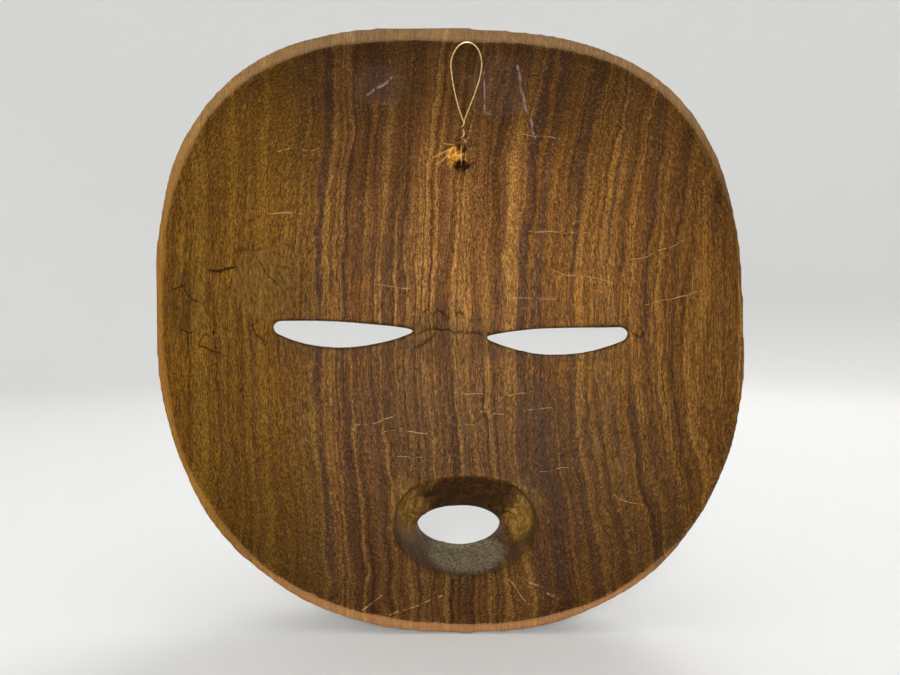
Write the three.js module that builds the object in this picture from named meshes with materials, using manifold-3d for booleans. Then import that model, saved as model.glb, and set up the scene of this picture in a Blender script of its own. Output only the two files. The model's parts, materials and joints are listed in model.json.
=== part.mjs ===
// A carved wooden mask with a brass wire loop for hanging it on a nail.
// Millimetres. +Z is up, the carved face looks along -Y, and the hollow back opens along +Y to the wall.
// Everything is shaped about the middle of the mask, and is moved at the end, so that the origin is the nail.
import * as THREE from 'three';
import { mergeVertices } from 'three/addons/utils/BufferGeometryUtils.js';
import Module from 'manifold-3d';

// Outline of the rim
const halfWidth = 83.1;
const topHeight = 85.2;
const bottomHeight = 86;
const topRoundness = 2.82;
const bottomRoundness = 2.28;
const outlineLean = 1.1;

// Depths, measured from the wall
const domeHeight = 45;
const domeFlatness = 2.7;
const domeEdge = 2.1;
const hollowDepth = 36;
const hollowFlatness = 2.4;
const hollowEdge = 0.85;

// The flat land of the rim
const landMean = 2.5;
const landTopExtra = 0.7;
const landSideExtra = 0.6;
const landEndsExtra = 1.0;

// Eye slits
const slitLength = 47.8;
const slitOpening = 9;
const slitInnerX = 12;
const leftSlitZ = 3.2;
const rightSlitZ = 1;
const slitFlare = 0.0046;
const lidBulge = 5.2;
const socketDip = 5.4;

// Mouth and the recess behind it
const mouthX = -2.8;
const mouthZ = -66.2;
const mouthHalfWidth = 14;
const mouthHalfHeight = 7;
const recessX = -4.5;
const recessZ = -59.5;
const recessHalfWidth = 22;
const recessHalfHeight = 13.6;
const recessDepth = 37;
const recessFunnel = 10;
const muzzleBulge = 10;
const lipBulge = 8;

// Nose and brows
const noseTop = 8;
const noseBase = -41;
const noseRise = 15.5;
const noseHalfWidth = 8.5;
const wingBulge = 6;
const browHeight = 15;
const browBulge = 4.6;

// Wire loop and the wooden bridge that it goes round
const wireDiameter = 0.6;
const wireClearance = 0.7;
const bridgeX = -3.6;
const bridgeZ = 54.4;
const bridgeRise = 1.5;
const bridgeRadius = 1.6;
const lugHalfWidth = 4;
const lugHeight = 3.2;
const neckLength = 14;
const neckLean = 58;
const loopLength = 21.6;
const loopLean = 31.6;
const loopWidth = 8.8;
const strandGap = 0.2;
const nailDiameter = 3;

// Fineness of the surfaces
const around = 112;
const frontRings = 32;
const backRings = 11;

const wasm = await Module();
wasm.setup();

const degrees = Math.PI / 180;
const wireRadius = wireDiameter / 2;
const eyeRadius = bridgeRadius + wireClearance + wireRadius;

// A smooth hill of height 1 at its middle.
function hill(x, z, middleX, middleZ, wideX, wideZ) {
  const u = (x - middleX) / wideX;
  const v = (z - middleZ) / wideZ;
  return Math.exp(-(u * u + v * v));
}

// Goes smoothly from 0 to 1 while value goes from low to high.
function ramp(value, low, high) {
  const t = Math.min(1, Math.max(0, (value - low) / (high - low)));
  return t * t * (3 - 2 * t);
}

// Distance from the middle to the rim's outer edge. The angle is 0 at the top and grows towards +X.
function outlineRadius(angle) {
  const s = Math.abs(Math.sin(angle)) / halfWidth;
  const c = Math.cos(angle);
  const height = c > 0 ? topHeight : bottomHeight;
  const power = c > 0 ? topRoundness : bottomRoundness;
  const radius = Math.pow(Math.pow(s, power) + Math.pow(Math.abs(c) / height, power), -1 / power);
  return radius + outlineLean * Math.sin(2 * angle);
}

function landWidth(angle) {
  const ends = landEndsExtra * Math.cos(2 * angle);
  return landMean + landTopExtra * Math.cos(angle) + landSideExtra * Math.sin(angle) + ends;
}

// How far the hollow's surface lies in front of the wall.
function hollowAt(x, z) {
  const angle = Math.atan2(x, z);
  const inner = outlineRadius(angle) - landWidth(angle);
  const part = Math.min(1, Math.hypot(x, z) / inner);
  return hollowDepth * Math.pow(1 - Math.pow(part, hollowFlatness), hollowEdge);
}

// What the carved features add to the plain dome of the front.
function relief(x, z) {
  const side = Math.abs(x);
  const eyeX = slitInnerX + slitLength / 2;
  const eyeZ = (leftSlitZ + rightSlitZ - slitOpening) / 2;
  let sum = 2.5 * hill(x, z, 0, 50, 46, 24);

  // Brow, a ridge that follows an arch over each eye, over a hollowed socket.
  const archZ = browHeight + eyeZ + 2 - 0.0075 * (side - 30) * (side - 30);
  const archWeight = ramp(side, 2, 16) * (1 - ramp(side, 52, 70));
  sum += browBulge * archWeight * Math.exp(-Math.pow((z - archZ) / (z > archZ ? 8 : 4.2), 2));
  sum -= socketDip * hill(side, z, eyeX - 5, eyeZ - 1, 29, 13);
  sum += lidBulge * hill(side, z, eyeX, eyeZ, 23, 8);

  // Nose, which rises and widens down to its tip, then drops to the upper lip.
  const down = ramp(z, noseTop + 12, noseBase + 6);
  const drop = ramp(z, noseBase - 3.5, noseBase + 3.5);
  const wide = 4.5 + (noseHalfWidth - 4.5) * down;
  sum += (2.5 + (noseRise - 2.5) * down) * drop * ramp(-z, -noseTop - 16, -noseTop + 4)
    * Math.exp(-Math.pow(side / wide, 2.6));
  sum += wingBulge * drop * hill(side, z, noseHalfWidth + 1.5, noseBase + 7, 4.2, 5.5);

  // Cheeks, the rise around the mouth, the lips and the chin.
  sum += 2.6 * hill(side, z, 40, -32, 20, 18);
  sum += muzzleBulge * hill(x, z, mouthX / 2, mouthZ - 5, 29, 17);
  const lipU = (x - mouthX) / (mouthHalfWidth + 4);
  const lipV = (z - mouthZ) / (mouthHalfHeight + 3.5);
  const lipRing = Math.hypot(lipU, lipV) - 1;
  sum += lipBulge * Math.exp(-Math.pow(Math.abs(lipRing) / 0.46, 2.6));
  sum -= 1.6 * hill(x, z, mouthX / 2, mouthZ + mouthHalfHeight + 11, 3, 5);
  return sum;
}

// The closed skin of the block: hollow, land, side and front, as rings round the middle.
function blockGeometry() {
  const positions = [];
  const indices = [];
  positions.push(0, -hollowAt(0, 0), 0);
  const addRing = (place) => {
    for (let i = 0; i < around; i += 1) {
      const angle = (2 * Math.PI * i) / around;
      positions.push(...place(angle, Math.sin(angle), Math.cos(angle)));
    }
  };
  for (let k = 1; k <= backRings; k += 1) {
    const part = Math.sin((Math.PI / 2) * Math.pow(k / backRings, 0.92));
    addRing((angle, s, c) => {
      const r = part * (outlineRadius(angle) - landWidth(angle));
      return [r * s, k === backRings ? 0 : -hollowAt(r * s, r * c), r * c];
    });
  }
  for (let k = 0; k < frontRings; k += 1) {
    const part = 1 - Math.pow(k / frontRings, 1.45);
    const rise = Math.pow(1 - Math.pow(part, domeFlatness), 1 / domeEdge);
    addRing((angle, s, c) => {
      const r = part * outlineRadius(angle);
      return [r * s, -(domeHeight * rise + relief(r * s, r * c) * ramp(rise, 0, 0.5)), r * c];
    });
  }
  positions.push(0, -(domeHeight + relief(0, 0)), 0);
  const last = positions.length / 3 - 1;
  const rings = backRings + frontRings;
  // The two halves of the face split their squares the opposite ways, so that they mirror each other.
  for (let i = 0; i < around; i += 1) {
    const j = (i + 1) % around;
    indices.push(0, 1 + i, 1 + j);
    for (let k = 0; k < rings - 1; k += 1) {
      const a = 1 + k * around;
      const b = a + around;
      if (2 * i < around) {
        indices.push(a + i, b + i, a + j);
        indices.push(a + j, b + i, b + j);
      } else {
        indices.push(a + i, b + j, a + j);
        indices.push(a + i, b + i, b + j);
      }
    }
    const end = 1 + (rings - 1) * around;
    indices.push(end + i, last, end + j);
  }
  const geometry = new THREE.BufferGeometry();
  geometry.setAttribute('position', new THREE.Float32BufferAttribute(positions, 3));
  geometry.setIndex(indices);
  return geometry;
}

function toSolid(geometry) {
  const plain = geometry.clone();
  plain.deleteAttribute('normal');
  plain.deleteAttribute('uv');
  const merged = mergeVertices(plain, 1e-4);
  const vertProperties = new Float32Array(merged.attributes.position.array);
  const triVerts = new Uint32Array(merged.index.array);
  return new wasm.Manifold(new wasm.Mesh({ numProp: 3, vertProperties, triVerts }));
}

function toGeometry(solid) {
  const mesh = solid.getMesh();
  const geometry = new THREE.BufferGeometry();
  geometry.setAttribute('position', new THREE.BufferAttribute(new Float32Array(mesh.vertProperties), 3));
  geometry.setIndex(new THREE.BufferAttribute(new Uint32Array(mesh.triVerts), 1));
  return geometry;
}

// A slit: nearly straight above, bowed below, blunt at the outer end, pointed at the inner one.
function slitGeometry(side, topZ) {
  const outer = slitInnerX + slitLength;
  const tilt = slitOpening * 0.24;
  const shape = new THREE.Shape();
  shape.moveTo(side * slitInnerX, topZ - tilt * 1.3);
  shape.quadraticCurveTo(side * (slitInnerX + slitLength * 0.3), topZ, side * (outer - 2), topZ);
  shape.lineTo(side * outer, topZ - slitOpening * 0.2);
  shape.lineTo(side * (outer - 1), topZ - slitOpening * 0.48);
  shape.quadraticCurveTo(
    side * (slitInnerX + slitLength * 0.5), topZ - slitOpening * 1.56,
    side * slitInnerX, topZ - slitOpening * 0.45,
  );
  shape.closePath();
  const depth = 60;
  const geometry = new THREE.ExtrudeGeometry(shape, { depth, bevelEnabled: false, curveSegments: 9 });
  const place = geometry.attributes.position;
  for (let i = 0; i < place.count; i += 1) {
    const forward = place.getZ(i) + 8;
    const grow = 1 + slitFlare * (forward - hollowDepth);
    place.setXYZ(i, place.getX(i) * grow, -forward, place.getY(i) * grow);
  }
  return geometry;
}

// A rounded funnel that opens towards the wall, and the oval hole at its bottom.
function mouthGeometry() {
  const profile = [
    new THREE.Vector2(0, 66),
    new THREE.Vector2(1.04, 66),
    new THREE.Vector2(1, recessDepth + 4),
    new THREE.Vector2(1.02, recessDepth),
  ];
  const open = recessHalfWidth / mouthHalfWidth;
  for (let k = 1; k <= 5; k += 1) {
    const t = k / 5;
    profile.push(new THREE.Vector2(1.02 + (open - 1.02) * t, recessDepth - recessFunnel * Math.pow(t, 1.2)));
  }
  profile.push(new THREE.Vector2(open * 1.08, 2));
  profile.push(new THREE.Vector2(0, 2));
  const geometry = new THREE.LatheGeometry(profile.reverse(), 36);
  const place = geometry.attributes.position;
  for (let i = 0; i < place.count; i += 1) {
    const forward = place.getY(i);
    const wide = Math.min(1, Math.max(0, (recessDepth - forward) / recessFunnel));
    const midX = mouthX + (recessX - mouthX) * wide;
    const midZ = mouthZ + (recessZ - mouthZ) * wide;
    const halfX = mouthHalfWidth;
    const halfZ = mouthHalfHeight + (recessHalfHeight / open - mouthHalfHeight) * wide;
    place.setXYZ(i, midX + place.getX(i) * halfX, -forward, midZ - place.getZ(i) * halfZ);
  }
  return geometry;
}

// Where the wire swings: the middle of the wooden bridge, along X.
const bridgeY = -hollowAt(bridgeX, bridgeZ) + bridgeRise;
const hingePoint = new THREE.Vector3(bridgeX, bridgeY, bridgeZ);

// Direction, in the YZ plane, that is leaned from straight up towards the wall.
function leaned(angle) {
  return new THREE.Vector3(0, Math.sin(angle * degrees), Math.cos(angle * degrees));
}

const alongX = new THREE.Vector3(1, 0, 0);
const neckWay = leaned(neckLean);
const loopWay = leaned(loopLean);
const crossing = hingePoint.clone().addScaledVector(neckWay, neckLength);
const loopTop = crossing.clone().addScaledVector(loopWay, loopLength);

function neckPoint(along, acrossX, above) {
  const normal = leaned(neckLean + 90);
  return hingePoint.clone().addScaledVector(neckWay, along).addScaledVector(alongX, acrossX)
    .addScaledVector(normal, above);
}

function loopPoint(along, acrossX, above = 0) {
  const normal = leaned(loopLean + 90);
  return crossing.clone().addScaledVector(loopWay, along).addScaledVector(alongX, acrossX)
    .addScaledVector(normal, above);
}

function wireGeometry() {
  const twist = wireDiameter + strandGap;
  const points = [];
  points.push(neckPoint(eyeRadius + 3.4, -0.3, -twist * 1.2));
  points.push(neckPoint(eyeRadius + 1.6, -0.4, -twist * 0.95));
  for (let k = 0; k <= 7; k += 1) {
    const turn = (-28 - k * (304 / 7)) * degrees;
    const across = -0.35 + 0.6 * (k / 7);
    points.push(neckPoint(eyeRadius * Math.cos(turn), across, eyeRadius * Math.sin(turn)));
  }
  points.push(neckPoint(eyeRadius + 1.5, 0.2, 0.35));
  points.push(neckPoint(neckLength * 0.5, 0.05, 0));
  points.push(neckPoint(neckLength * 0.78, 0, 0));
  points.push(loopPoint(0, 0.1, -0.05));
  const half = loopWidth / 2;
  points.push(loopPoint(loopLength * 0.1, half * 0.34));
  points.push(loopPoint(loopLength * 0.26, half * 0.72));
  points.push(loopPoint(loopLength * 0.47, half * 0.97));
  points.push(loopPoint(loopLength * 0.7, half));
  points.push(loopPoint(loopLength * 0.89, half * 0.66));
  points.push(loopPoint(loopLength, -0.2));
  points.push(loopPoint(loopLength * 0.9, -half * 0.7));
  points.push(loopPoint(loopLength * 0.72, -half));
  points.push(loopPoint(loopLength * 0.48, -half * 0.95));
  points.push(loopPoint(loopLength * 0.26, -half * 0.66));
  points.push(loopPoint(loopLength * 0.1, -half * 0.34, twist * 0.6));
  const turns = 2.25;
  const steps = 11;
  for (let k = 0; k <= steps; k += 1) {
    const angle = (200 - (360 * turns * k) / steps) * degrees;
    const along = neckLength * 0.99 - (neckLength * 0.46 * k) / steps;
    points.push(neckPoint(along, twist * Math.cos(angle), twist * Math.sin(angle)));
  }
  points.push(neckPoint(neckLength * 0.47, 1.6, -0.5));
  const path = new THREE.CatmullRomCurve3(points, false, 'centripetal');
  const outline = new THREE.Shape();
  const sides = 8;
  for (let k = 0; k < sides; k += 1) {
    const angle = (2 * Math.PI * k) / sides;
    const x = wireRadius * Math.cos(angle);
    const y = wireRadius * Math.sin(angle);
    if (k === 0) outline.moveTo(x, y);
    else outline.lineTo(x, y);
  }
  outline.closePath();
  return new THREE.ExtrudeGeometry(outline, { steps: 132, extrudePath: path, curveSegments: 1 });
}

// The lug left standing in the hollow, and the ring-shaped way that the wire's eye needs round the bridge.
function lugGeometry() {
  const geometry = new THREE.SphereGeometry(1, 20, 12);
  geometry.scale(lugHalfWidth, lugHeight, lugHeight * 1.15);
  geometry.translate(bridgeX, -hollowAt(bridgeX, bridgeZ) - 0.2, bridgeZ);
  return geometry;
}

function wireWayGeometry() {
  const geometry = new THREE.TorusGeometry(eyeRadius, wireRadius + wireClearance, 12, 30);
  geometry.scale(1, 1, 1.35);
  geometry.rotateY(Math.PI / 2);
  geometry.translate(hingePoint.x, hingePoint.y, hingePoint.z);
  return geometry;
}

let block = toSolid(blockGeometry());
block = block.subtract(toSolid(mouthGeometry()));
block = block.add(toSolid(lugGeometry()));
block = block.subtract(toSolid(wireWayGeometry()));
block = block.subtract(toSolid(slitGeometry(1, leftSlitZ)));
block = block.subtract(toSolid(slitGeometry(-1, rightSlitZ)));

const nailPoint = new THREE.Vector3(hingePoint.x, 0, loopTop.z - wireRadius - nailDiameter / 2);

const woodMaterial = new THREE.MeshStandardMaterial({ color: 0x8a4f2c, roughness: 0.55, metalness: 0 });
const brassMaterial = new THREE.MeshStandardMaterial({ color: 0xc9a24a, roughness: 0.3, metalness: 1 });

const group = new THREE.Group();
group.name = 'carved_mask';

const maskBody = new THREE.Mesh(toGeometry(block), woodMaterial);
maskBody.name = 'mask_body';
maskBody.geometry.translate(-nailPoint.x, -nailPoint.y, -nailPoint.z);
group.add(maskBody);

const hangingWire = new THREE.Mesh(wireGeometry(), brassMaterial);
hangingWire.name = 'hanging_wire';
hangingWire.geometry.translate(-nailPoint.x, -nailPoint.y, -nailPoint.z);
group.add(hangingWire);

export default group;
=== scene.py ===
# %% [markdown]
# # A carved wooden mask, seen from its hollow back
#
# The mask is one block of wood with a thin brass wire loop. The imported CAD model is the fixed
# frame: it gives the size and the place of both pieces. Here each gets its real shape and finish.

import json
import math

import bpy
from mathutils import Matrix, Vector


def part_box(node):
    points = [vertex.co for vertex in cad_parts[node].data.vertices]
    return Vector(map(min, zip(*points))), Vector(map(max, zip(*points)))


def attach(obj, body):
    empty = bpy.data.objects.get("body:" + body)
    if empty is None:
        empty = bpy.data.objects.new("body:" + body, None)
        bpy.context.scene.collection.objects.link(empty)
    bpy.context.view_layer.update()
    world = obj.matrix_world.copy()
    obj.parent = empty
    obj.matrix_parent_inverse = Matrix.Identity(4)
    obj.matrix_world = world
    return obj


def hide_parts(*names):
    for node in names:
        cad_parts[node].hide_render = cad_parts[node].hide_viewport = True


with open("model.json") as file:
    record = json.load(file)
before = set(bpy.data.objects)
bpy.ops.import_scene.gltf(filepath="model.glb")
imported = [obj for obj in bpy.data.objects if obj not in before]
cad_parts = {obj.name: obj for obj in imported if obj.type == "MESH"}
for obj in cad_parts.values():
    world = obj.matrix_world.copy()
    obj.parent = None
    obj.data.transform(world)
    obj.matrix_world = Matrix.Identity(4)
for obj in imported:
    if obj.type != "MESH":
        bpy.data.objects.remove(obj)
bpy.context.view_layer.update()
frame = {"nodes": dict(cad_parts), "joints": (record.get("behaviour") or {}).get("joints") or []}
MM = 0.001
IN_MM = 1000.0

# %% [markdown]
# The origin of the frame is the nail. Carvers think from the middle of the face, so one helper
# turns millimetres from the middle of the mask into the frame's metres.

# %% The middle of the mask
wood_low, wood_high = (Vector(corner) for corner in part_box("mask_body"))
wire_low, wire_high = (Vector(corner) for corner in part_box("hanging_wire"))
print("wire box", [round(v, 4) for v in wire_low], [round(v, 4) for v in wire_high])
middle = Vector(((wood_low.x + wood_high.x) / 2, 0, (wood_low.z + wood_high.z) / 2))
bridge = Vector(frame["joints"][0]["pos_m"])


def spot(x, y, z):
    """A place given in millimetres from the middle of the rim, as metres in the frame."""
    return middle + Vector((x, y, z)) * MM


print("middle of the mask", [round(v, 4) for v in middle], "bridge", [round(v, 4) for v in bridge])


def only(piece):
    """Selects one piece alone and makes it the active one."""
    if bpy.context.object and bpy.context.object.mode != "OBJECT":
        bpy.ops.object.mode_set(mode="OBJECT")
    bpy.ops.object.select_all(action="DESELECT")
    piece.select_set(True)
    bpy.context.view_layer.objects.active = piece


def finish_modifier(piece, kind, name, **settings):
    """Adds a modifier, gives it its settings and applies it."""
    only(piece)
    modifier = piece.modifiers.new(name, kind)
    for key, value in settings.items():
        setattr(modifier, key, value)
    bpy.ops.object.modifier_apply(modifier=modifier.name)

# %% [markdown]
# ## Places on the block
#
# Modifiers can be told where to act by a vertex group. These helpers fill a group from a rule
# about where a point lies and which way it faces, in millimetres from the middle of the mask.

# %% Helpers for places
import numpy as np


def measure(piece):
    """Every point's place in millimetres from the middle of the mask, and its normal."""
    count = len(piece.data.vertices)
    place = np.empty(count * 3)
    piece.data.vertices.foreach_get("co", place)
    facing = np.empty(count * 3)
    piece.data.vertex_normals.foreach_get("vector", facing)
    return (place.reshape(-1, 3) - np.array(middle)) / MM, facing.reshape(-1, 3)


WEIGHT_STEPS = 20


def weigh(piece, name, weights):
    """Fills a vertex group from an array of weights, in even steps."""
    group = piece.vertex_groups.new(name=name)
    steps = np.rint(np.clip(weights, 0, 1) * WEIGHT_STEPS).astype(int)
    for step in range(1, WEIGHT_STEPS + 1):
        chosen = np.nonzero(steps == step)[0]
        if len(chosen):
            group.add(chosen.tolist(), step / WEIGHT_STEPS, "REPLACE")
    return group.name


def fade(value, low, high):
    """Goes smoothly from 0 to 1 while value goes from low to high."""
    part = np.clip((value - low) / (high - low), 0, 1)
    return part * part * (3 - 2 * part)


def near(place, x, z, wide, high, soft=0.6):
    """1 at a spot, falling smoothly to 0 at the edge of an ellipse round it."""
    far = np.hypot((place[:, 0] - x) / wide, (place[:, 2] - z) / high)
    return 1 - fade(far, soft, 1)

# %% [markdown]
# ## The block of wood
#
# The CAD block already has the right outline, hollow, slits and face, but its surface is faceted.
# A copy is merged and rebuilt by a voxel remesh, which gives even, fine squares that a carver's
# unevenness can be pressed into, and then it is smoothed, as a scraped surface is. The flat rim
# is left out of the smoothing, because its edges are the crispest lines of the real thing.

# %% Copy, remesh and scrape the block
only(frame["nodes"]["mask_body"])
bpy.ops.object.duplicate()
block = bpy.context.object
block.name = "carved_block"
for modifier in list(block.modifiers):
    block.modifiers.remove(modifier)
bpy.ops.object.mode_set(mode="EDIT")
bpy.ops.mesh.select_all(action="SELECT")
bpy.ops.mesh.remove_doubles(threshold=0.00001)
bpy.ops.object.mode_set(mode="OBJECT")
voxel = 0.55 * MM
finish_modifier(block, "REMESH", "even_skin", mode="VOXEL", voxel_size=voxel)
place, facing = measure(block)
scraped = weigh(block, "scraped", 0.4 + 0.6 * fade(-place[:, 1], 0.5, 2.2))
rounds = 9
finish_modifier(block, "SMOOTH", "scraped", factor=0.5, iterations=rounds, vertex_group=scraped)
finish_modifier(block, "SMOOTH", "eased", factor=0.5, iterations=4)
across = np.hypot(facing[:, 0], facing[:, 2])
worn_edge = weigh(block, "worn_edge", fade(place[:, 1], -7, -3) * fade(across, 0.1, 0.45))
rounds = 26
finish_modifier(block, "SMOOTH", "worn_edge", factor=0.6, iterations=rounds, vertex_group=worn_edge)
print("block", len(block.data.vertices), "points")

# %% [markdown]
# Each group says where one kind of tool mark goes: the scraped hollow, the carved front, the patch
# beside one eye slit where a chip tore out, the rough walls of the mouth recess, and the lump of
# torn wood that the wire goes round.

# %% Groups: hollow, front, torn patch, recess and lump
place, facing = measure(block)
behind = fade(facing[:, 1], 0.05, 0.3)
hollow = behind * fade(-place[:, 1], 0.4, 2.5)
front = fade(-facing[:, 1], 0.0, 0.3)
torn_wobble = 1 + 0.1 * np.sin(place[:, 0] * 0.9) + 0.1 * np.sin(place[:, 2] * 1.1 + 1)
torn = hollow * near(place, 59, 14.5, 9 * torn_wobble, 12 * torn_wobble, 0.9)
ragged_side = hollow * near(place, 72, 8, 13 * torn_wobble, 17 * torn_wobble)
recess_ring = near(place, -4.5, -60.5, 25, 18) * fade(-place[:, 1], 26, 31)
chiselled = behind * recess_ring * (1 - near(place, -2.8, -66.2, 17.5, 10, 0.84))
chiselled *= 1 - 0.7 * near(place, -6, -52, 17, 9)
bridge_far = np.linalg.norm(place - (np.array(bridge) - np.array(middle)) / MM, axis=1)
lump = 1 - fade(bridge_far, 4.0, 6)
groups = {
    name: weigh(block, name, weights)
    for name, weights in {
        "hollow": hollow,
        "front": front,
        "torn": torn,
        "ragged_side": ragged_side,
        "chiselled": chiselled,
        "lump": lump,
    }.items()
}
print("groups", {name: int((w > 0.5).sum()) for name, w in (("hollow", hollow), ("torn", torn))})

# %% [markdown]
# ## A carver's unevenness
#
# A hollow cut with a gouge keeps long shallow scoops along the grain, even after scraping. A
# Displace modifier with a cell pattern makes them: each cell is lowest in its middle. An empty
# that is longer upwards stretches the cells along the grain. Cloud patterns add the slow
# unevenness of handwork, and a harder, finer one tears the wood where the tool dug in.


# %% Press the tool's marks into the wood
def press(name, kind, size, strength, group, stretch=(1, 1, 1), middle_level=0.5, **settings):
    """Displaces the block along its normals by a pattern, where a vertex group says so."""
    pattern = bpy.data.textures.new(name, kind)
    pattern.noise_scale = 1
    for key, value in settings.items():
        setattr(pattern, key, value)
    ruler = bpy.data.objects.new(name + "_ruler", None)
    ruler.scale = [size * MM * s for s in stretch]
    ruler.location = middle
    bpy.context.scene.collection.objects.link(ruler)
    bpy.context.view_layer.update()
    finish_modifier(
        block,
        "DISPLACE",
        name,
        texture=pattern,
        texture_coords="OBJECT",
        texture_coords_object=ruler,
        strength=strength * MM,
        mid_level=middle_level,
        direction="NORMAL",
        vertex_group=groups[group] if group else "",
    )
    bpy.data.objects.remove(ruler)


ROUND_CELLS = {"distance_metric": "DISTANCE_SQUARED"}
SHARP_CELLS = {"distance_metric": "MINKOVSKY_HALF"}
HARD = {"noise_type": "HARD_NOISE"}
press("handwork", "CLOUDS", 26, 1.0, None, noise_depth=1)
press("gouge_scoops", "VORONOI", 12, 0.5, "hollow", stretch=(1, 1, 2.4), **ROUND_CELLS)
press("scraper_ripple", "CLOUDS", 3.4, 0.2, "hollow", stretch=(1, 1, 4))
press("front_facets", "VORONOI", 9, 0.3, "front", **ROUND_CELLS)
press("torn_step", "CLOUDS", 40, -0.7, "torn", middle_level=0.0)
press("torn_grain", "CLOUDS", 2.4, 0.5, "torn", stretch=(1, 1, 1.5), **HARD)
press("ragged_grain", "CLOUDS", 4.5, -0.9, "ragged_side", stretch=(1, 1, 1.7), **HARD)
press("chisel_cuts", "VORONOI", 6, 1.0, "chiselled", stretch=(1, 2.2, 1), **SHARP_CELLS)
press("chisel_chips", "CLOUDS", 2.4, 0.7, "chiselled", **HARD)
press("torn_lump", "CLOUDS", 1.6, 0.9, "lump", stretch=(1, 1, 1.8), **HARD)
block.vertex_groups.clear()
TRIANGLES_BEFORE_GROOVES = 170000
share = min(1, TRIANGLES_BEFORE_GROOVES / (2 * len(block.data.polygons)))
finish_modifier(block, "DECIMATE", "fewer_faces", ratio=share)
print("pressed block", len(block.data.polygons), "faces")

# %% [markdown]
# ## Cracks
#
# Where the grain is short, near the corners of the eye slits, the wood has cracked. Each crack is
# a thin tapered tube laid along the surface and cut out of the block, which leaves a fine groove.
# The faces inside the grooves are marked, so that the finish can paint shade into them.

# %% Cut the cracks
cracks = (
    (0.36, ((72, 18), (69.5, 17.7), (67, 18.8), (65, 19.6))),
    (0.14, ((80, 11), (77.8, 12.4), (76, 14.2))),
    (0.2, ((77.6, 13.6), (76.5, 10.8), (75.2, 9), (73, 7.8))),
    (0.15, ((64.5, 3.2), (68, 0.4), (73.2, -1.8), (73.8, -4.2), (71, -6), (67.6, -7.4))),
    (0.13, ((64.5, 26), (59.6, 21.8), (57.6, 18), (53.2, 13.2), (52.2, 11.2), (53.8, 8))),
    (0.12, ((78.2, 0.6), (76, -0.7), (74.5, -0.4))),
    (
        0.17,
        ((11.6, -0.9), (8.4, 0.1), (5.2, 0.8), (2.9, 0.2), (0.8, 0.6), (-2.2, -0.7), (-4.4, -0.3)),
    ),
    (0.11, ((-5.4, -0.4), (-8, -0.5), (-10.8, -1.3))),
    (0.11, ((9.4, 5), (8.3, 6.9), (7, 7.4), (6.3, 5.9))),
    (0.12, ((5.6, 5.6), (4.4, 6.8), (2.6, 6.2), (0.8, 4.6))),
    (0.1, ((-1.8, 5.8), (-3.4, 6.3), (-4.9, 5.5))),
    (0.12, ((4.6, -0.2), (6.4, -2.6), (8.9, -4.4), (13, -6.3))),
    (0.15, ((-57.6, -0.8), (-59.2, -2.2), (-60.4, -1.6))),
    (0.14, ((59.3, 3.4), (61.2, 1.4), (60.4, -1.0), (57.4, -3.8))),
)


def lay_tube(width, points, side):
    """A thin tapered tube along the hollow (side 1) or the face (side -1), through given places."""
    bpy.ops.object.select_all(action="DESELECT")
    bpy.ops.curve.primitive_bezier_curve_add(enter_editmode=True, location=(0, 0, 0))
    bpy.ops.curve.select_all(action="SELECT")
    bpy.ops.curve.subdivide(number_cuts=2 * len(points) - 3)
    bpy.ops.object.mode_set(mode="OBJECT")
    tube = bpy.context.object
    stops = []
    for first, second in zip(points, points[1:]):
        stops += [first, ((first[0] + second[0]) / 2, (first[1] + second[1]) / 2)]
    stops.append(points[-1])
    for count, (point, (x, z)) in enumerate(zip(tube.data.splines[0].bezier_points, stops)):
        point.handle_left_type = point.handle_right_type = "AUTO"
        point.co = block.ray_cast(spot(x, side * 100, z), Vector((0, -side, 0)))[1]
        share = count / (len(stops) - 1)
        point.radius = 0.12 + 0.88 * min(1, 4 * share, 4 * (1 - share))
    tube.data.dimensions = "3D"
    tube.data.resolution_u = 4
    tube.data.bevel_depth = width * MM
    tube.data.bevel_resolution = 1
    tube.data.use_fill_caps = True
    only(tube)
    bpy.ops.object.convert(target="MESH")
    bpy.ops.object.mode_set(mode="EDIT")
    bpy.ops.mesh.select_all(action="SELECT")
    bpy.ops.mesh.remove_doubles(threshold=0.000001)
    bpy.ops.mesh.normals_make_consistent(inside=False)
    bpy.ops.object.mode_set(mode="OBJECT")
    return bpy.context.object


def cut_groove(width, points, side, shade_amount):
    """Cuts one tube out of the block and marks the new faces with how much painted shade they get."""
    cutter = lay_tube(width, points, side)
    mark = cutter.data.attributes.new("groove", "FLOAT", "FACE")
    mark.data.foreach_set("value", [shade_amount] * len(cutter.data.polygons))
    finish_modifier(
        block, "BOOLEAN", "groove", operation="DIFFERENCE", solver="MANIFOLD", object=cutter
    )
    bpy.data.objects.remove(cutter)


# Painted shade: the full amount goes into the cracks.
CRACK_SHADE = 1.0
block.data.attributes.new("groove", "FLOAT", "FACE")
for width, points in cracks:
    cut_groove(width, points, 1, CRACK_SHADE)
print("cracks", len(cracks), "block faces", len(block.data.polygons))

# %% [markdown]
# ## Knife lines on the face
#
# The face in front is plain and calm. A carver sharpens such a face with a few knife lines: a
# fold over and under each eye, a line along each brow, the edge of the lips and two nostrils.
# They are cut the same way as the cracks, only wider, and they are the same on both sides.

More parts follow.
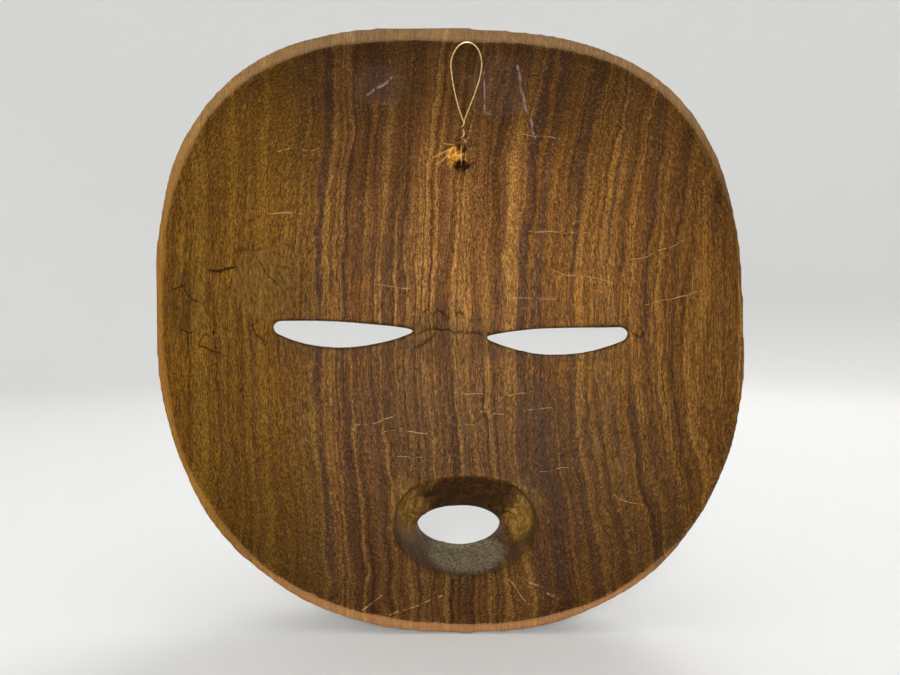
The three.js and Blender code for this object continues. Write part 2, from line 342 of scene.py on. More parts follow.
# %% Cut the knife lines
knife_lines = [
    (
        0.42,
        (
            (-19.5, -66.5), (-14.5, -59.8), (-7.5, -57), (-2.8, -58.4),
            (1.9, -57), (8.9, -59.8), (13.9, -66.5),
        ),
    ),
    (0.36, ((-17.5, -70.5), (-11, -76.2), (-2.8, -78), (5.4, -76.2), (11.9, -70.5))),
]
for way in (-1, 1):
    lid = 3.2 if way == 1 else 1.0
    upper_fold = (
        (10.5, lid - 0.4), (21, lid + 3.8), (36, lid + 5.2), (51, lid + 4.4), (64, lid + 0.6),
    )
    lower_fold = ((15, lid - 8), (27, lid - 12), (40, lid - 12.6), (53, lid - 9.6))
    brow = ((9.5, 17), (22, 21.6), (38, 22.4), (53, 19), (65, 12.6))
    nostril = ((3.6, -42.2), (5.4, -41.2), (7.2, -42))
    for width, line in ((0.42, upper_fold), (0.34, lower_fold), (0.42, brow), (0.9, nostril)):
        knife_lines.append((width, tuple((way * x, z) for x, z in line)))
# Painted shade: about half as much goes into the knife lines.
KNIFE_LINE_SHADE = 0.55
for width, points in knife_lines:
    cut_groove(width, points, -1, KNIFE_LINE_SHADE)
print("knife lines", len(knife_lines), "block faces", len(block.data.polygons))

# %% [markdown]
# The finished block takes the place of the plain CAD block and moves with its body.

# %% Ready to ride
only(block)
bpy.ops.object.shade_smooth()
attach(block, "mask")
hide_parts("mask_body")
block.data.calc_loop_triangles()
print("carved block", len(block.data.loop_triangles), "triangles")

# %% [markdown]
# ## The brass wire
#
# The wire goes round the wooden bridge, is wound round its own neck and opens into a long
# pear-shaped loop. A Bezier curve with a round bevel is the natural way to make bent wire: the
# points are where the pliers turned it, and the handles give it even bends.

# %% The wire's measures
NECK, NECK_LEAN = 14.0, math.radians(58)
LOOP, LOOP_LEAN = 21.6, math.radians(31.6)
EYE = 2.6
HALF_LOOP = 4.3
WIRE = 0.225
TWIST = 0.62


def leaned(angle):
    """The direction up, leaned towards the wall by an angle."""
    return Vector((0, math.sin(angle), math.cos(angle)))


def neck_point(along, across, above):
    """A place measured from the bridge: along the neck, across it and above it."""
    off = leaned(NECK_LEAN) * along + leaned(NECK_LEAN + math.pi / 2) * above
    return bridge + (off + Vector((across, 0, 0))) * MM


def loop_point(along, across, above=0.0):
    """A place on the loop, measured from the top of the neck."""
    off = leaned(LOOP_LEAN) * along + leaned(LOOP_LEAN + math.pi / 2) * above
    across -= 0.3 + 0.7 * min(1, along / 12)
    return neck_point(NECK, 0, 0) + (off + Vector((across, 0, 0))) * MM


print("neck", NECK, "mm, loop", LOOP, "mm, wire", 2 * WIRE, "mm thick")

# %% [markdown]
# The route is written in the order in which a hand would bend it: round the bridge, along the
# neck, round the loop, and back to be wound round the neck, with the cut end left standing out.

# %% The wire's route
route = [neck_point(EYE + 4.0, -0.9, -0.9), neck_point(EYE + 1.4, -0.45, -0.6)]
for step in range(8):
    turn = math.radians(-28 - step * 304 / 7)
    route.append(neck_point(EYE * math.cos(turn), -0.35 + 0.6 * step / 7, EYE * math.sin(turn)))
route += [neck_point(EYE + 1.6, 0.15, 0.3), neck_point(7, 0.05, 0), neck_point(11, 0, 0)]
route.append(loop_point(0, 0.1, -0.05))
for along, across in (
    (0.08, 0.18), (0.2, 0.42), (0.4, 0.74), (0.6, 0.96), (0.77, 1.0), (0.9, 0.76), (0.975, 0.4),
    (1.0, -0.04), (0.975, -0.46), (0.9, -0.8), (0.77, -1.0), (0.6, -0.94), (0.4, -0.7), (0.2, -0.38),
    (0.09, -0.2),
):
    route.append(loop_point(along * LOOP, across * HALF_LOOP))
for step in range(9):
    turn = math.radians(200 - 360 * 1.4 * step / 8)
    route.append(neck_point(13.9 - 6.0 * step / 8, TWIST * math.cos(turn), TWIST * math.sin(turn)))
route.append(neck_point(6.9, -0.9, 0.2))
route.append(neck_point(6.2, -1.3, 0.5))
print("wire route", len(route), "points")

# %% [markdown]
# A new Bezier curve has only two points, so it is subdivided until it has one for each stop of
# the route. It stays a curve until its bevel is right, and then it is made into a mesh.

# %% Bend the wire
only(block)
bpy.ops.curve.primitive_bezier_curve_add(enter_editmode=True, location=(0, 0, 0))
bpy.ops.curve.select_all(action="SELECT")
bpy.ops.curve.subdivide(number_cuts=len(route) - 2)
bpy.ops.object.mode_set(mode="OBJECT")
wire = bpy.context.object
wire.name = "brass_wire"
for point, target in zip(wire.data.splines[0].bezier_points, route):
    point.handle_left_type = point.handle_right_type = "AUTO"
    point.co = target
wire.data.resolution_u = 10
wire.data.bevel_depth = WIRE * MM
wire.data.bevel_resolution = 3
wire.data.use_fill_caps = True
wire.data.dimensions = "3D"
only(wire)
bpy.ops.object.convert(target="MESH")
wire = bpy.context.object
bpy.ops.object.shade_smooth_by_angle(angle=math.radians(50))
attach(wire, "wire_loop")
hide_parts("hanging_wire")
print("wire", len(wire.data.polygons), "faces")

# %% [markdown]
# ## Recipes for the finishes
#
# A finish is a small graph of nodes. These helpers keep each step of a recipe to one line. Every
# pattern is measured in the block's own coordinates, so it is a solid pattern: the same growth
# rings come out on the front, the rim and the hollow, as they do in real wood.


# %% A recipe book for node graphs
class Recipe:
    """A material, and the short words that its nodes are written with."""

    def __init__(self, name):
        self.material = bpy.data.materials.new(name)
        self.material.use_nodes = True
        self.tree = self.material.node_tree
        self.surface = self.tree.nodes["Principled BSDF"]
        self.place = self.add("ShaderNodeTexCoord").outputs["Object"]

    def add(self, kind, **settings):
        """A new node with its settings."""
        made = self.tree.nodes.new(kind)
        for key, value in settings.items():
            setattr(made, key, value)
        return made

    def plug(self, socket, value):
        """Links another node's output to a socket, or sets the socket to a plain value."""
        if isinstance(value, bpy.types.NodeSocket):
            self.tree.links.new(value, socket)
        elif value is not None:
            socket.default_value = value

    def calc(self, operation, a, b=None, c=None, clamp=False):
        """One step of arithmetic on numbers."""
        made = self.add("ShaderNodeMath", operation=operation, use_clamp=clamp)
        for socket, value in zip(made.inputs, (a, b, c)):
            self.plug(socket, value)
        return made.outputs[0]

    def vector(self, operation, a, b=None, scale=None):
        """One step of arithmetic on places and directions."""
        made = self.add("ShaderNodeVectorMath", operation=operation)
        self.plug(made.inputs[0], a)
        self.plug(made.inputs[1], b)
        if scale is not None:
            self.plug(made.inputs["Scale"], scale)
        return made.outputs["Value" if operation in ("LENGTH", "DOT_PRODUCT") else "Vector"]

    def times(self, a, b):
        """Two numbers multiplied, such as a patch and how strong it is."""
        return self.calc("MULTIPLY", a, b)

    def either(self, a, b):
        """The larger of two numbers, which joins two patches into one."""
        return self.calc("MAXIMUM", a, b)

    def stretched(self, x, y, z):
        """The place scaled along each axis, to make a pattern finer or longer that way."""
        return self.vector("MULTIPLY", self.place, (x, y, z))

    def join(self, x, y, z):
        """A place made from three numbers."""
        made = self.add("ShaderNodeCombineXYZ")
        for socket, value in zip(made.inputs, (x, y, z)):
            self.plug(socket, value)
        return made.outputs[0]

    def noise(self, at, scale=1.0, detail=2.0, rough=0.5):
        """A cloudy pattern between 0 and 1, mostly near a half."""
        made = self.add("ShaderNodeTexNoise")
        self.plug(made.inputs["Vector"], at)
        made.inputs["Scale"].default_value = scale
        made.inputs["Detail"].default_value = detail
        made.inputs["Roughness"].default_value = rough
        return made.outputs[0]

    def step(self, value, low, high, to_low=0.0, to_high=1.0):
        """Goes smoothly from one value to another while a number goes from low to high."""
        made = self.add("ShaderNodeMapRange", interpolation_type="SMOOTHSTEP")
        for socket, part in zip(made.inputs, (value, low, high, to_low, to_high)):
            self.plug(socket, part)
        return made.outputs[0]

    def blend(self, share, a, b, way="MIX"):
        """Two colours mixed, with the second one's share."""
        made = self.add("ShaderNodeMix", data_type="RGBA", blend_type=way)
        self.plug(made.inputs[0], share)
        for socket, value in ((made.inputs[6], a), (made.inputs[7], b)):
            self.plug(socket, value if isinstance(value, bpy.types.NodeSocket) else (*value, 1))
        return made.outputs[2]

    def shaded(self, colour, tone):
        """A colour made darker or lighter by a plain number."""
        return self.blend(1.0, colour, self.join(tone, tone, tone), "MULTIPLY")

    def bump(self, height, depth, normal=None):
        """Fine relief of a depth in millimetres, laid over relief that is already there."""
        made = self.add("ShaderNodeBump")
        made.inputs["Strength"].default_value = 1
        made.inputs["Distance"].default_value = depth * MM
        self.plug(made.inputs["Height"], height)
        if normal is not None:
            self.plug(made.inputs["Normal"], normal)
        return made.outputs[0]

    def patch(self, at, reach, soft, wobble):
        """1 inside an ellipsoid at a place, in millimetres from the middle, and 0 outside it."""
        moved = self.vector("SUBTRACT", self.place, tuple(spot(*at)))
        scaled = self.vector("MULTIPLY", moved, tuple(1 / (r * MM) for r in reach))
        far = self.calc("ADD", self.vector("LENGTH", scaled), wobble)
        return self.step(far, 1 + soft / 2, 1 - soft / 2)

# %% [markdown]
# ## Figured wood
#
# The log's heart lay beyond one edge of the mask, so every growth ring is part of a circle round
# a line there. The distance from that line is the one number that the stripes depend on: pale
# golden wood up to a dark line, then red-brown wood with closely set light and dark stripes, and
# darker wood with purple-brown streaks on the far side. The distance is disturbed a little by
# slow noise, which makes the stripes wander as real grain does.

# %% Wood: the growth rings
wood = Recipe("figured_wood")
heart = spot(88, 1, 0)
from_heart = wood.vector("SUBTRACT", wood.place, tuple(heart))
flat = wood.vector("MULTIPLY", from_heart, (1, 1, 0))
radius = wood.times(wood.vector("LENGTH", flat), IN_MM)
slow = wood.noise(wood.stretched(22, 22, 9), detail=2)
wander = wood.noise(wood.stretched(130, 130, 40), detail=3)
shiver = wood.noise(wood.stretched(620, 620, 190), detail=3, rough=0.6)
radius = wood.calc("MULTIPLY_ADD", wood.calc("SUBTRACT", slow, 0.5), 9.0, radius)
radius = wood.calc("MULTIPLY_ADD", wood.calc("SUBTRACT", wander, 0.5), 4.6, radius)
radius = wood.calc("MULTIPLY_ADD", wood.calc("SUBTRACT", shiver, 0.5), 1.9, radius)
split = wood.add("ShaderNodeSeparateXYZ")
wood.plug(split.inputs[0], wood.place)
up = wood.times(split.outputs["Z"], IN_MM)
ring_place = wood.join(radius, 0.0, wood.times(up, 0.012))
broad = wood.noise(ring_place, scale=0.1, detail=1)
rings = wood.noise(ring_place, scale=0.31, detail=2, rough=0.6)
lines = wood.noise(ring_place, scale=0.95, detail=2, rough=0.65)
threads = wood.noise(wood.vector("ADD", ring_place, (300, 0, 0)), scale=0.34, detail=1)
deep = wood.times(split.outputs["Y"], IN_MM)
fibre_place = wood.join(radius, deep, wood.times(up, 0.05))
fibres = wood.noise(fibre_place, scale=2.4, detail=3, rough=0.7)
print("ring radius measured from", [round(v, 3) for v in heart])

# %% [markdown]
# Some rings are much darker than their neighbours. Each is named by its distance from the heart,
# so one short function draws them all, and they bend through the hollow as real rings do.

# %% Wood: dark streaks at chosen rings
def streak(at, width, depth):
    """A dark streak that follows one growth ring."""
    off = wood.calc("ABSOLUTE", wood.calc("SUBTRACT", radius, at))
    return wood.times(wood.step(off, width, width * 0.15), depth)


dark = wood.either(streak(53.8, 2.2, 0.7), streak(48.5, 8.0, 0.28))
for at, width, depth in (
    (61.0, 1.5, 0.4), (69.5, 1.3, 0.35), (80.5, 1.6, 0.3), (92.0, 1.2, 0.25), (102.5, 1.4, 0.25),
    (110.0, 1.4, 0.3), (116.5, 2.4, 0.7), (121.5, 1.8, 0.65), (131.0, 1.6, 0.35), (141.0, 1.9, 0.35),
    (150.0, 1.5, 0.3), (43.0, 1.4, 0.2), (33.0, 1.3, 0.2),
):
    dark = wood.either(dark, streak(at, width, depth))
dark = wood.times(dark, wood.step(wander, 0.25, 0.6, 0.4, 1.1))
print("streaks,", len(wood.tree.nodes), "nodes so far")

# %% [markdown]
# The colours go on as a finisher would see them: the wood's own broad colour first, then its
# stripes, fibres and open pores, and after that what use and tools have done to it.

# %% Wood: body colour
purple_brown = (0.045, 0.019, 0.011)
figure = wood.calc("MULTIPLY_ADD", lines, 0.34, wood.times(broad, 0.2))
figure = wood.calc("MULTIPLY_ADD", rings, 0.46, figure)


def three_tones(dark_tone, mid_tone, light_tone):
    """A colour that runs from dark to light with the wood's figure."""
    lower = wood.blend(wood.step(figure, 0.4, 0.5), dark_tone, mid_tone)
    return wood.blend(wood.step(figure, 0.49, 0.6), lower, light_tone)


golden = three_tones((0.086, 0.034, 0.003), (0.127, 0.054, 0.0035), (0.17, 0.082, 0.007))
russet = three_tones((0.049, 0.018, 0.003), (0.112, 0.044, 0.008), (0.222, 0.106, 0.023))
umber = three_tones((0.046, 0.018, 0.003), (0.106, 0.043, 0.006), (0.187, 0.087, 0.015))
body = wood.blend(wood.step(radius, 46.0, 60.0), golden, russet)
body = wood.blend(wood.step(radius, 100.0, 132.0), body, umber)
thread = wood.calc("ABSOLUTE", wood.calc("SUBTRACT", threads, 0.5))
thread = wood.times(wood.step(thread, 0.034, 0.004), wood.step(radius, 36.0, 60.0, 0.2, 0.6))
body = wood.blend(thread, body, (0.04, 0.016, 0.006))
body = wood.blend(dark, body, purple_brown)
fibre_tone = wood.step(fibres, 0.3, 0.7, 0.6, 1.42)
body = wood.shaded(body, fibre_tone)
cloud_tone = wood.step(slow, 0.3, 0.7, 0.86, 1.16)
body = wood.shaded(body, cloud_tone)
slope = wood.add("ShaderNodeSeparateXYZ")
wood.plug(slope.inputs[0], wood.add("ShaderNodeTexCoord").outputs["Normal"])
end_grain = wood.step(wood.calc("ABSOLUTE", slope.outputs["Z"]), 0.05, 0.75, 1.12, 0.72)
body = wood.shaded(body, end_grain)

# %% [markdown]
# Close up, this wood is full of short dark pores along the grain, with light and dark specks
# between. They are far finer than the stripes, so they are noise patterns stretched upwards.

# %% Wood: pores and speckles
speckle_place = wood.stretched(1500, 1500, 520)
speckle = wood.noise(speckle_place, detail=2, rough=0.7)
specks = wood.step(speckle, 0.52, 0.66)
near_dark = wood.calc("ADD", wood.times(dark, 0.7), wood.step(figure, 0.5, 0.4, 0.22, 0.5))
body = wood.blend(wood.times(specks, near_dark), body, (0.035, 0.014, 0.006))
sparks = wood.times(wood.step(speckle, 0.42, 0.3), 0.3)
body = wood.blend(sparks, body, (0.27, 0.14, 0.035))
pore_place = wood.stretched(3200, 3200, 300)
pores = wood.step(wood.noise(pore_place, detail=1), 0.6, 0.68)
body = wood.blend(wood.times(pores, 0.6), body, purple_brown)
grit = wood.noise(wood.stretched(2500, 2500, 1100), detail=1)
grit_tone = wood.step(grit, 0.32, 0.68, 0.68, 1.38)
body = wood.shaded(body, grit_tone)
print("pores and specks,", len(wood.tree.nodes), "nodes so far")

# %% [markdown]
# ## Marks of tools, dirt and glue, and painted light and shade
#
# Places are given in millimetres from the middle of the mask. A broad pool of painted light brightens
# the hollow above the eyes, and painted shade with some dirt darkens the wood under and between the
# eye slits and low in the hollow. The upper wall of the mouth recess gets painted shadow over dark end
# grain, its lower wall is dry, grey and rough, the torn bridge shows raw orange wood, and dried glue
# leaves pale films near the wire.

# %% Wood: painted light, painted shade with dirt, and marks by place
def grainy(size, stretch, detail, strength):
    """A rough pattern round zero that makes the edge of a patch ragged."""
    fine = wood.noise(wood.stretched(size, size, size * stretch), detail=detail)
    return wood.times(wood.calc("SUBTRACT", fine, 0.5), strength)


ragged = grainy(260, 0.6, 3, 1.1)
rough_edge = grainy(900, 0.55, 2, 0.6)
fine_edge = grainy(700, 0.6, 3, 0.3)
tone = wood.noise(wood.stretched(1100, 900, 500), detail=4, rough=0.7)
# A broad pool of painted light: the wood above the eyes, towards one side, is made up to a third
# lighter, and the rest a tenth darker.
pale = wood.patch((-27, -30, 29), (58, 50, 43), 1.2, grainy(60, 0.4, 2, 1.0))
pale = wood.calc("MULTIPLY_ADD", pale, 0.42, 0.9)
body = wood.shaded(body, pale)
# Painted shade with some dirt: darker patches under and between the eye slits, lower in the hollow,
# near the chin, above one eye and by one edge of the rim.
for at, reach, share in (
    ((34, -29, -5), (27, 9, 4), 0.3),
    ((-34, -29, -6.5), (27, 9, 4), 0.3),
    ((0, -34, -3), (20, 10, 8), 0.4),
    ((-42, -30, -42), (24, 16, 24), 0.25),
    ((8, -34, -24), (40, 12, 10), 0.22),
    ((78, -10, 9), (5, 12, 9), 0.3),
    ((-8, -34, -80), (30, 12, 6), 0.25),
    ((24, -30, 26), (9, 12, 7), 0.3),
):
    shade_and_dirt = wood.times(wood.patch(at, reach, 0.9, ragged), share)
    body = wood.blend(shade_and_dirt, body, (0.05, 0.026, 0.01))
print("dirt and broad tone,", len(wood.tree.nodes), "nodes so far")

# %% [markdown]
# Where the wood tore or was chopped across the grain, it has other colours: duller at the torn
# patch, golden on the sides of the mouth recess and dry grey below it. The recess's upper wall is dark
# end grain under a near-black painted shadow, and its golden sides are brightened with painted light.

# %% Wood: the torn patch and the walls of the recess
torn_skin = wood.patch((58.5, -20, 14.5), (8.5, 16, 11), 0.12, wood.times(ragged, 0.7))
torn_tone = wood.blend(wood.step(tone, 0.35, 0.65), (0.07, 0.032, 0.005), (0.21, 0.118, 0.03))
body = wood.blend(wood.times(torn_skin, 0.45), body, torn_tone)
# Painted shadow: the upper wall of the mouth recess is darkened nearly to black over its dark end
# grain, as if the recess's top edge shaded it.
shade = wood.patch((-8, -36, -53.5), (18.5, 12, 8.5), 0.16, fine_edge)
shade_tone = wood.blend(wood.step(fibres, 0.35, 0.65), (0.012, 0.005, 0.002), (0.06, 0.025, 0.007))
body = wood.blend(wood.times(shade, 0.86), body, shade_tone)
# Golden rough wood on both sides of the mouth recess, brightened with painted light against the shade
# on their slopes.
for at, reach in (((15, -33, -60), (5.5, 10, 13)), ((-25, -33, -60), (5.5, 10, 11))):
    lit_flank = wood.times(wood.patch(at, reach, 0.9, ragged), 0.7)
    lit_flank_tone = wood.blend(wood.step(tone, 0.35, 0.65), (0.13, 0.06, 0.008), (0.36, 0.205, 0.045))
    body = wood.blend(lit_flank, body, lit_flank_tone)
grey_wall = wood.patch((-6, -30, -74.6), (20, 16, 5.4), 0.4, rough_edge)
grey_tone = wood.blend(wood.step(tone, 0.35, 0.65), (0.11, 0.083, 0.042), (0.36, 0.3, 0.19))
body = wood.blend(wood.times(grey_wall, 0.85), body, grey_tone)
print("torn patch and recess,", len(wood.tree.nodes), "nodes so far")

# %% [markdown]
# The lump that the wire goes round was never oiled, so its raw wood is bright orange, with a
# near-black painted shadow in the pit under it. The cracks and knife lines are darkened inside with
# painted shade, by the mark that their faces carry.

# %% Wood: the raw lump and the cracks
raw_at = Vector((bridge - middle) / MM)
raw = wood.patch(tuple(raw_at + Vector((2.1, 0, 1.1))), (2.7, 6, 2.2), 0.3, rough_edge)
raw_tail = wood.patch(tuple(raw_at + Vector((3.4, 0, -1.0))), (1.2, 6, 1.8), 0.4, rough_edge)
raw = wood.either(raw, raw_tail)
raw_tone = wood.blend(wood.step(tone, 0.35, 0.62), (0.2, 0.07, 0.008), (0.75, 0.36, 0.05))
body = wood.blend(raw, body, raw_tone)
# Painted shadow: a near-black spot in the pit just under the lump.
pit_shadow = wood.patch(tuple(raw_at + Vector((-0.2, 0, -2.6))), (2.3, 6, 0.9), 0.4, rough_edge)
body = wood.blend(wood.times(pit_shadow, 0.9), body, (0.02, 0.008, 0.003))
# Painted shade in the grooves: the faces that each cut marked are darkened by that mark.
groove_shade = wood.add("ShaderNodeAttribute", attribute_name="groove").outputs["Fac"]
body = wood.blend(wood.times(groove_shade, 0.8), body, (0.022, 0.009, 0.003))

# %% [markdown]
# The rim is a flat land with hardly any oil on it, and its colour carries painted light and shade: it
# is pale at the top and orange at the chin, dark along the side that faces away from the light and
# golden brown along the side that faces it. The dried glue shows mostly at its edges, where pale lines
# are partly whitish glue and partly painted highlight.

# %% Wood: the bare rim with painted light and shade, and the dried glue
land = wood.step(wood.calc("ADD", deep, grainy(400, 1, 2, 0.5)), -0.6, -0.3)
# Painted light on the bare rim: paler towards the top.
bare_lit_high_rim = wood.times(land, wood.step(up, -55.0, -10.0, 0.0, 0.45))
MIDDLE_BELOW_NAIL = 78.0
from_middle = wood.calc("ABSOLUTE", wood.calc("ADD", up, MIDDLE_BELOW_NAIL))
# Painted light and shade along the sides of the rim: golden on the side that faces the light, dark on
# the other.
lit_and_shaded_side_rim = wood.times(land, wood.step(from_middle, 74.0, 48.0, 0.0, 0.5))
lit_side_way = wood.step(split.outputs["X"], -0.03, 0.03)
lit_and_shaded_side_tone = wood.blend(lit_side_way, (0.05, 0.022, 0.004), (0.27, 0.12, 0.018))
body = wood.blend(lit_and_shaded_side_rim, body, lit_and_shaded_side_tone)
body = wood.blend(bare_lit_high_rim, body, (0.25, 0.15, 0.065))
# Painted light on the bare rim near the chin: orange, as if lit from below.
bare_lit_low_rim = wood.times(land, wood.step(up, -130.0, -158.0, 0.0, 0.5))
body = wood.blend(bare_lit_low_rim, body, (0.42, 0.2, 0.075))
behind_only = wood.step(slope.outputs["Y"], 0.05, 0.25)
film = wood.patch((21, -8, 72), (8, 14, 5), 0.1, ragged)
film = wood.either(film, wood.patch((-14, -8, 71), (9, 14, 9), 0.1, ragged))
film = wood.times(film, behind_only)
body = wood.blend(wood.times(film, 0.03), body, (0.4, 0.32, 0.3))

# %% [markdown]
# A scratch is a line between two places. Its distance is measured in the shader, after bending
# the wood's coordinates a little, so that no scratch is quite straight, and noise breaks it up.

# %% Wood: fine scratches
curl = wood.add("ShaderNodeTexNoise")
curl.inputs["Scale"].default_value = 1
curl.inputs["Detail"].default_value = 1
wood.plug(curl.inputs["Vector"], wood.stretched(100, 100, 100))
curl_off = wood.vector("SUBTRACT", curl.outputs["Color"], (0.5, 0.5, 0.5))
curled = wood.vector("ADD", wood.place, wood.vector("SCALE", curl_off, scale=4 * MM))


def far_from(start, end):
    """The distance from the line between two places, seen from behind."""
    first, last = spot(start[0], 0, start[1]), spot(end[0], 0, end[1])
    way = last - first
    off = wood.vector("MULTIPLY", wood.vector("SUBTRACT", curled, tuple(first)), (1, 0, 1))
    along = wood.vector("DOT_PRODUCT", off, tuple(way))
    along = wood.calc("DIVIDE", along, way.length_squared, clamp=True)
    nearest = wood.vector("SCALE", tuple(way), scale=along)
    return wood.vector("LENGTH", wood.vector("SUBTRACT", off, nearest))


def nearest_line(lines_from_to):
    """The distance from the nearest of several lines."""
    far = None
    for start, end in lines_from_to:
        line = far_from(start, end)
        far = line if far is None else wood.calc("MINIMUM", far, line)
    return far


pale_lines = nearest_line((
    ((-1, -20), (-13, -21.5)), ((-10, -26.5), (-18, -27)), ((-17, -22), (-25, -21)),
    ((-24, -26.5), (-33, -25.5)),
    ((31, -31), (18, -27.5)), ((22, -33), (15, -32)), ((16, -33.5), (8, -33)), ((-3, -32), (-8, -31)),
    ((17, -41), (9, -41)), ((-29, -45), (-38, -44)), ((17, -81), (3, -77.5)), ((-17, -74), (-23, -78)),
    ((-22, -73), (-32, -77)), ((27, -80), (19, -77)), ((-50, -50), (-57, -52)), ((-20, 12), (-35, 10)),
    ((-26, 33), (-45, 31)), ((-34, 20), (-52, 15)), ((-22, 62), (-34, 59)), ((24, 15), (10, 14.5)),
    ((-56, 22), (-70, 27)), ((-60, 8), (-74, 12)), ((40, 57), (52, 54)), ((46, 38), (58, 36)),
))
broken = wood.step(wood.noise(wood.stretched(420, 420, 420), detail=2), 0.38, 0.56)
broken = wood.times(broken, behind_only)
scratches = wood.times(wood.step(pale_lines, 0.19 * MM, 0.05 * MM), broken)
body = wood.blend(wood.times(scratches, 0.6), body, (0.5, 0.31, 0.13))
# Pale lines along the edges of the glue film: partly whitish dried glue, partly painted highlight
# where the edges catch the light.
glue_glint_lines = nearest_line((
    ((-19.5, 77), (-27, 60)), ((-10, 75), (-11.5, 66)), ((-11.5, 66), (-14, 65)), ((25, 71), (17, 74)),
))
glue_edge_glint = wood.times(wood.step(glue_glint_lines, 0.4 * MM, 0.1 * MM), broken)
body = wood.blend(wood.times(glue_edge_glint, 0.4), body, (0.42, 0.33, 0.31))
splinters = nearest_line((
    ((-0.5, 57.2), (5.5, 55.6)), ((0, 56.0), (4.2, 54.2)), ((-1, 58.2), (2.2, 58.6)),
))
splinters = wood.times(wood.step(splinters, 0.3 * MM, 0.05 * MM), behind_only)
body = wood.blend(wood.times(splinters, 0.55), body, (0.55, 0.3, 0.07))

# %% [markdown]
# The sheen changes a little from fibre to fibre, and torn or dry wood is much duller. Grooves,
# scoops and chips are real shapes. Fibres, rings, pores and scratches are left to a bump.

# %% Wood: sheen and relief
wood.plug(wood.surface.inputs["Base Color"], body)
wood.surface.inputs["Specular IOR Level"].default_value = 0.1
gloss = wood.step(fibres, 0.3, 0.7, 0.42, 0.56)
rough_parts = wood.either(grey_wall, wood.either(raw, wood.times(torn_skin, 0.5)))
gloss = wood.calc("ADD", gloss, wood.times(rough_parts, 0.4), clamp=True)
gloss = wood.calc("SUBTRACT", gloss, wood.times(wood.either(film, glue_edge_glint), 0.14))
wood.plug(wood.surface.inputs["Roughness"], gloss)
relief = wood.bump(fibres, 0.16)
relief = wood.bump(lines, 0.1, relief)
relief = wood.bump(wood.calc("SUBTRACT", 1.0, specks), 0.07, relief)
relief = wood.bump(wood.calc("SUBTRACT", 1.0, pores), 0.1, relief)
relief = wood.bump(wood.calc("SUBTRACT", 1.0, scratches), 0.08, relief)
wood.plug(wood.surface.inputs["Normal"], relief)
block.data.materials.clear()
block.data.materials.append(wood.material)
print("wood nodes", len(wood.tree.nodes))

# %% [markdown]
# ## Brass
#
# Thin drawn brass is bright where it is clean, with faint lines along it and a little tarnish.

# %% Brass wire finish
brass = Recipe("drawn_brass")
tarnish = brass.noise(brass.stretched(400, 400, 400), detail=3)
brass.plug(
    brass.surface.inputs["Base Color"],
    brass.blend(brass.step(tarnish, 0.45, 0.7), (0.83, 0.6, 0.27), (0.5, 0.3, 0.11)),
)
brass.surface.inputs["Metallic"].default_value = 1
brass.plug(brass.surface.inputs["Roughness"], brass.step(tarnish, 0.3, 0.7, 0.24, 0.42))
wire.data.materials.clear()
wire.data.materials.append(brass.material)
print("brass nodes", len(brass.tree.nodes))

# %% [markdown]
# ## Floor, light and camera
#
# A pale floor curves up into a pale wall all round, so that every view has the same plain ground.
# Large soft lamps stand on both sides of the mask, and the camera looks straight into the hollow
# from close by, as when the mask lies face down and is looked at from above.

# %% Pale floor and wall
bpy.ops.object.select_all(action="DESELECT")
FLOOR_REACH = 2.4
RING_WIDTH = 1.4
WALL_HEIGHT = 2.6
SWEEP = 1.3
bpy.ops.mesh.primitive_circle_add(
    vertices=96, radius=FLOOR_REACH, fill_type="NGON", location=(0, 0, wood_low.z)
)
floor = bpy.context.object
floor.name = "pale_floor"
bpy.ops.object.mode_set(mode="EDIT")
bpy.ops.mesh.select_all(action="SELECT")
bpy.ops.mesh.inset(thickness=RING_WIDTH)
bpy.ops.mesh.select_all(action="DESELECT")
bpy.ops.object.mode_set(mode="OBJECT")
for vertex in floor.data.vertices:
    reach = math.hypot(vertex.co.x, vertex.co.y)
    vertex.select = reach > FLOOR_REACH - 0.1
bpy.ops.object.mode_set(mode="EDIT")
bpy.ops.mesh.select_mode(type="EDGE")
bpy.ops.mesh.extrude_region_move(TRANSFORM_OT_translate={"value": (0, 0, WALL_HEIGHT)})
bpy.ops.object.mode_set(mode="OBJECT")
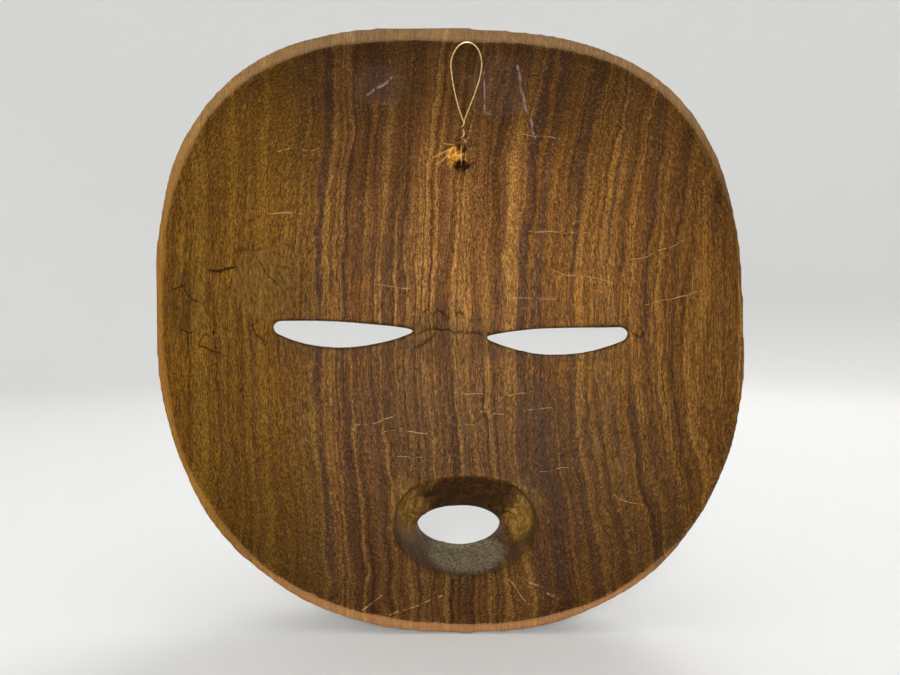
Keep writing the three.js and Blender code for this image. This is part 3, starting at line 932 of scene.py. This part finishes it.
finish_modifier(
    floor,
    "BEVEL",
    "sweep",
    width=SWEEP,
    segments=16,
    limit_method="ANGLE",
    angle_limit=math.radians(40),
)
bpy.ops.object.shade_smooth()
paint = Recipe("pale_paint")
paint.surface.inputs["Base Color"].default_value = (0.8, 0.8, 0.79, 1)
paint.surface.inputs["Roughness"].default_value = 0.85
floor.data.materials.append(paint.material)
print("floor", len(floor.data.polygons), "faces")

# %% [markdown]
# The lamps are large squares, because large lamps make soft shadows. One lights the hollow, one
# the carved face, and a weak one the top. The camera doesn't see the lamps themselves.

# %% Soft lamps
def lamp(name, at, towards, size, power):
    """A square lamp that points at a place and isn't seen by the camera."""
    light = bpy.data.lights.new(name, "AREA")
    light.size = size
    light.energy = power
    holder = bpy.data.objects.new(name, light)
    holder.location = at
    holder.rotation_euler = (Vector(towards) - Vector(at)).to_track_quat("-Z", "Y").to_euler()
    holder.visible_camera = False
    bpy.context.scene.collection.objects.link(holder)


lamp("back_lamp", (0.15, 2.0, 0.45), middle, 1.0, 54)
lamp("front_lamp", (-0.45, -0.8, 0.85), middle, 0.7, 6)
lamp("top_lamp", (0, 0.15, 1.2), middle, 0.8, 0.8)
world = bpy.data.worlds.new("pale_room")
world.use_nodes = True
world.node_tree.nodes["Background"].inputs[0].default_value = (1, 1, 1, 1)
world.node_tree.nodes["Background"].inputs[1].default_value = 0.55
bpy.context.scene.world = world
print("lamps", len(bpy.data.lights))

# %% [markdown]
# The camera looks level along -Y into the hollow from close by, with a wide lens. That is why the
# bottom of the hollow looks smaller than the rim round it.

# %% Camera
camera_data = bpy.data.cameras.new("camera")
camera_data.lens = 27
camera_data.sensor_width = 36
camera_data.clip_start = 0.01
camera = bpy.data.objects.new("camera", camera_data)
camera.location = spot(0, 190, -2.1)
camera.rotation_euler = (math.radians(90), 0, math.radians(180))
bpy.context.scene.collection.objects.link(camera)
bpy.context.scene.camera = camera
bpy.context.scene.view_settings.view_transform = "Standard"
print("camera at", [round(v, 3) for v in camera.location], "lens", camera_data.lens)
